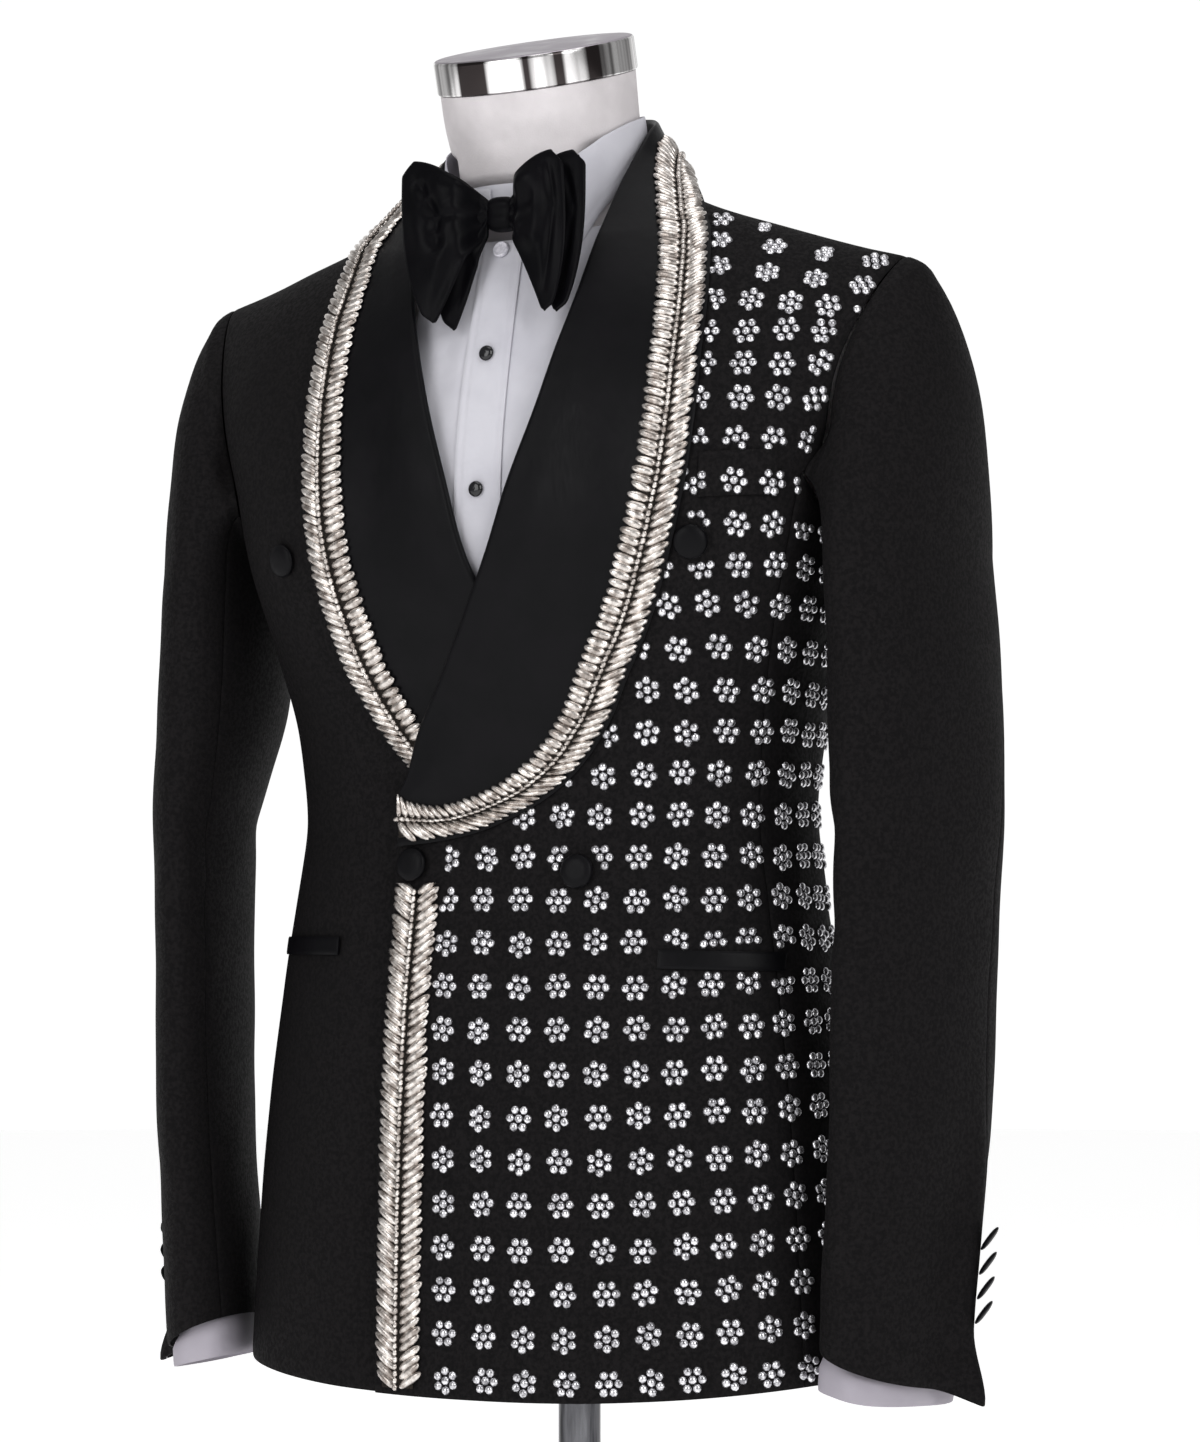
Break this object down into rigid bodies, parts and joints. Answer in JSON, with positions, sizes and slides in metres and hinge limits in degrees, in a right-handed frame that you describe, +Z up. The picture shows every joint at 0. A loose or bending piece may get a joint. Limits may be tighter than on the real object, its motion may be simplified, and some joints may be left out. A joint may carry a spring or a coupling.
{
  "type": "tuxedo on a dress form",
  "caption": "Double-breasted shawl-collar dinner jacket with beaded trim, white shirt and bow tie, on a limbless dress form on a round base.",
  "frame": {"origin": "centre of the round base's underside", "axes": "+Z up along the pole, -Y the way the jacket faces, +X the wearer's left"},
  "size_m": [0.547, 0.344, 1.1013],
  "materials": {
    "jacket_cloth": "matt black wool with a faint jacquard",
    "satin": "smooth black satin",
    "bead_trim": "strip sewn all over with metallic bugle beads",
    "shirt_cloth": "plain white cotton",
    "stud_black": "polished black",
    "pearl": "pearly white",
    "form_jersey": "white jersey",
    "steel": "polished, the cap's top satin"
  },
  "bodies": {
    "root": {"back_left": "jacket_cloth", "back_right": "jacket_cloth", "base": "steel", "bow_back_left": "satin", "bow_back_right": "satin", "bow_band": "satin", "bow_front_left": "satin", "bow_front_right": "satin", "bow_knot": "satin", "button_chest_left": "satin", "button_chest_right": "satin", "button_waist_edge": "satin", "button_waist_outer": "satin", "collar_button": "pearl", "collar_left": "satin", "collar_right": "satin", "form_body": "form_jersey", "front_left": "jacket_cloth", "front_right": "jacket_cloth", "neck_cap": "steel", "pole": "steel", "shirt_collar_left": "shirt_cloth", "shirt_collar_right": "shirt_cloth", "shirt_cuff_left": "shirt_cloth", "shirt_cuff_right": "shirt_cloth", "shirt_front_left": "shirt_cloth", "shirt_front_right": "shirt_cloth", "shirt_placket": "shirt_cloth", "shirt_stand": "shirt_cloth", "side_left": "jacket_cloth", "side_right": "jacket_cloth", "sleeve_button_left_1": "satin", "sleeve_button_left_2": "satin", "sleeve_button_left_3": "satin", "sleeve_button_left_4": "satin", "sleeve_button_right_1": "satin", "sleeve_button_right_2": "satin", "sleeve_button_right_3": "satin", "sleeve_button_right_4": "satin", "sleeve_top_left": "jacket_cloth", "sleeve_top_right": "jacket_cloth", "sleeve_under_left": "jacket_cloth", "sleeve_under_right": "jacket_cloth", "stud_lower": "stud_black", "stud_upper": "stud_black", "trim_collar_left": "bead_trim", "trim_collar_right": "bead_trim", "trim_front": "bead_trim", "welt_chest": "jacket_cloth", "welt_hip_left": "satin", "welt_hip_right": "satin"}
  },
  "joints": []
}
